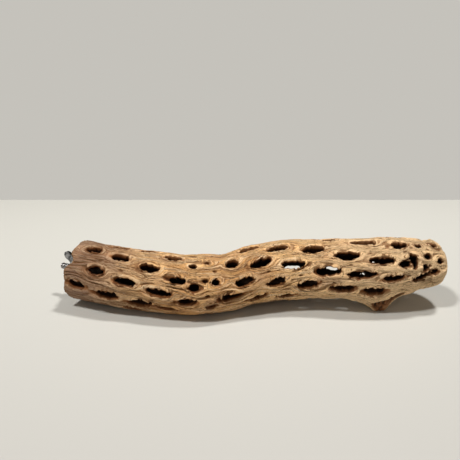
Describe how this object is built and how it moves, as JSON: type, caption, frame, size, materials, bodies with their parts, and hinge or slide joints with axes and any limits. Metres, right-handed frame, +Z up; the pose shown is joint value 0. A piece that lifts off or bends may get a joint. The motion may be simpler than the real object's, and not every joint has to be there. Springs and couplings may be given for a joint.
{
  "type": "cactus skeleton perch",
  "caption": "Hollow, bent cactus wood perch pierced by lens-shaped windows, with a bolt, washers and a wing nut on its cut end.",
  "frame": {"origin": "under the centre of the whole object's box, on the surface that the perch lies on", "axes": "+X along the log away from the bolted end, +Y to its back, +Z up"},
  "size_m": [0.2876, 0.0642, 0.054],
  "materials": {
    "cactus_skeleton": "bare dry wood, matt, ochre to grey-brown",
    "end_plug": "bare sawn wood, end grain outwards",
    "hanger_bolt": "zinc plated",
    "inner_washer": "zinc plated",
    "outer_washer": "zinc plated",
    "wing_nut": "bright plated"
  },
  "bodies": {
    "perch": {"cactus_skeleton": "cactus_skeleton", "end_plug": "end_plug", "hanger_bolt": "hanger_bolt", "inner_washer": "inner_washer"},
    "washer": {"outer_washer": "outer_washer"},
    "nut": {"wing_nut": "wing_nut"}
  },
  "joints": [
    {"name": "washer_slide", "type": "slide", "parent": "perch", "child": "washer", "axis": [-0.927, 0.3745, 0.02], "range_m": [0, 0.00481]},
    {"name": "nut_turn", "type": "hinge", "parent": "washer", "child": "nut", "pos_m": [-0.12625, 0.0122, 0.02371], "axis": [-0.927, 0.3745, 0.02], "range_deg": [0, 2160]}
  ],
  "couplings": [
    {"joint": "washer_slide", "follows": "nut_turn", "m_per_rad": 0.00012732}
  ]
}
